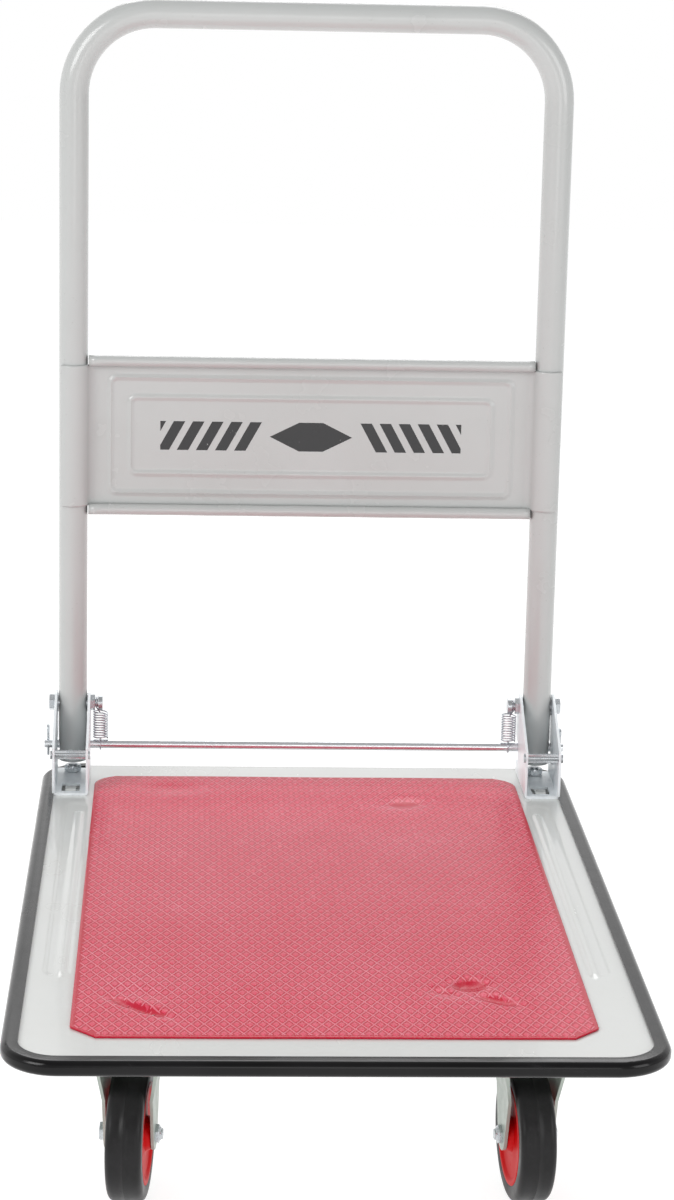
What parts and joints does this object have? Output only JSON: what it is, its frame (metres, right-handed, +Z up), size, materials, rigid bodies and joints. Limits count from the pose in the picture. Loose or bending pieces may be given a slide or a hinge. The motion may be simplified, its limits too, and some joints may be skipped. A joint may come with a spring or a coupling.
{
  "type": "folding platform cart",
  "caption": "Flat-deck hand truck with a matted steel platform, rubber edge bumper, fold-down tube handle with a pressed panel, a foot release bar, rigid front and swivel rear casters.",
  "frame": {"origin": "on the floor, under the middle of the object's box at rest (handle up)", "axes": "+Z up, +Y from the open end of the deck to the handle end, +X to the right seen from the open end, along the handle's pivot"},
  "size_m": [0.476, 0.73, 0.8512],
  "materials": {
    "handle_paint": "semi-gloss light warm grey enamel",
    "deck_paint": "semi-gloss pale grey enamel",
    "mat_vinyl": "red vinyl with a raised diamond grid",
    "bumper_rubber": "smooth glossy black extrusion",
    "zinc_steel": "bright zinc plate",
    "spring_steel": "bright wire",
    "tyre_rubber": "satin black rubber",
    "hub_plastic": "semi-gloss red moulding"
  },
  "bodies": {
    "deck": {"deck_mat": "mat_vinyl", "deck_plate": "deck_paint", "edge_bumper": "bumper_rubber", "front_channel": "deck_paint", "front_left_axle_bolt": "zinc_steel", "front_left_axle_nut": "zinc_steel", "front_left_caster_bolts": "zinc_steel", "front_left_fork": "zinc_steel", "front_left_sleeve": "zinc_steel", "front_right_axle_bolt": "zinc_steel", "front_right_axle_nut": "zinc_steel", "front_right_caster_bolts": "zinc_steel", "front_right_fork": "zinc_steel", "front_right_sleeve": "zinc_steel", "left_bracket": "zinc_steel", "left_bracket_bolt": "zinc_steel", "left_bracket_nut": "zinc_steel", "left_pivot_bolt": "zinc_steel", "left_pivot_nut": "zinc_steel", "left_spreader_bar": "zinc_steel", "rear_channel": "deck_paint", "rear_left_caster_bolts": "zinc_steel", "rear_left_kingpin": "zinc_steel", "rear_left_swivel_plate": "zinc_steel", "rear_left_swivel_race": "zinc_steel", "rear_right_caster_bolts": "zinc_steel", "rear_right_kingpin": "zinc_steel", "rear_right_swivel_plate": "zinc_steel", "rear_right_swivel_race": "zinc_steel", "right_bracket": "zinc_steel", "right_bracket_bolt": "zinc_steel", "right_bracket_nut": "zinc_steel", "right_pivot_bolt": "zinc_steel", "right_pivot_nut": "zinc_steel", "right_spreader_bar": "zinc_steel"},
    "handle": {"handle_tube": "handle_paint", "handle_panel": "handle_paint", "left_release_spring": "spring_steel", "right_release_spring": "spring_steel"},
    "release": {"release_bar": "zinc_steel", "left_split_pin": "zinc_steel", "left_rod_washer": "zinc_steel", "right_split_pin": "zinc_steel", "right_rod_washer": "zinc_steel"},
    "front_left_wheel": {"front_left_tyre": "tyre_rubber", "front_left_hub": "hub_plastic"},
    "rear_left_wheel": {"rear_left_tyre": "tyre_rubber", "rear_left_hub": "hub_plastic"},
    "rear_left_swivel": {"rear_left_fork": "zinc_steel", "rear_left_sleeve": "zinc_steel", "rear_left_axle_bolt": "zinc_steel", "rear_left_axle_nut": "zinc_steel"},
    "front_right_wheel": {"front_right_tyre": "tyre_rubber", "front_right_hub": "hub_plastic"},
    "rear_right_wheel": {"rear_right_tyre": "tyre_rubber", "rear_right_hub": "hub_plastic"},
    "rear_right_swivel": {"rear_right_fork": "zinc_steel", "rear_right_sleeve": "zinc_steel", "rear_right_axle_bolt": "zinc_steel", "rear_right_axle_nut": "zinc_steel"}
  },
  "joints": [
    {"name": "handle_fold", "type": "hinge", "parent": "deck", "child": "handle", "pos_m": [0, 0.335, 0.223], "axis": [1, 0, 0], "range_deg": [0, 94.6]},
    {"name": "release_bar_press", "type": "slide", "parent": "handle", "child": "release", "axis": [0, 0, -1], "range_m": [0, 0.006], "stiffness_N_per_m": 4000, "springref_m": -0.002, "deforming": ["left_release_spring", "right_release_spring"]},
    {"name": "front_left_wheel_spin", "type": "hinge", "parent": "deck", "child": "front_left_wheel", "pos_m": [-0.147, -0.236, 0.0508], "axis": [0.9945, -0.1045, 0], "continuous": true},
    {"name": "rear_left_swivel_turn", "type": "hinge", "parent": "deck", "child": "rear_left_swivel", "pos_m": [-0.13, 0.236, 0.115], "axis": [0, 0, 1], "continuous": true},
    {"name": "rear_left_wheel_spin", "type": "hinge", "parent": "rear_left_swivel", "child": "rear_left_wheel", "pos_m": [-0.13, 0.27, 0.0508], "axis": [1, 0, 0], "continuous": true},
    {"name": "front_right_wheel_spin", "type": "hinge", "parent": "deck", "child": "front_right_wheel", "pos_m": [0.147, -0.236, 0.0508], "axis": [0.9945, 0.1045, 0], "continuous": true},
    {"name": "rear_right_swivel_turn", "type": "hinge", "parent": "deck", "child": "rear_right_swivel", "pos_m": [0.13, 0.236, 0.115], "axis": [0, 0, 1], "continuous": true},
    {"name": "rear_right_wheel_spin", "type": "hinge", "parent": "rear_right_swivel", "child": "rear_right_wheel", "pos_m": [0.13, 0.27, 0.0508], "axis": [1, 0, 0], "continuous": true}
  ]
}
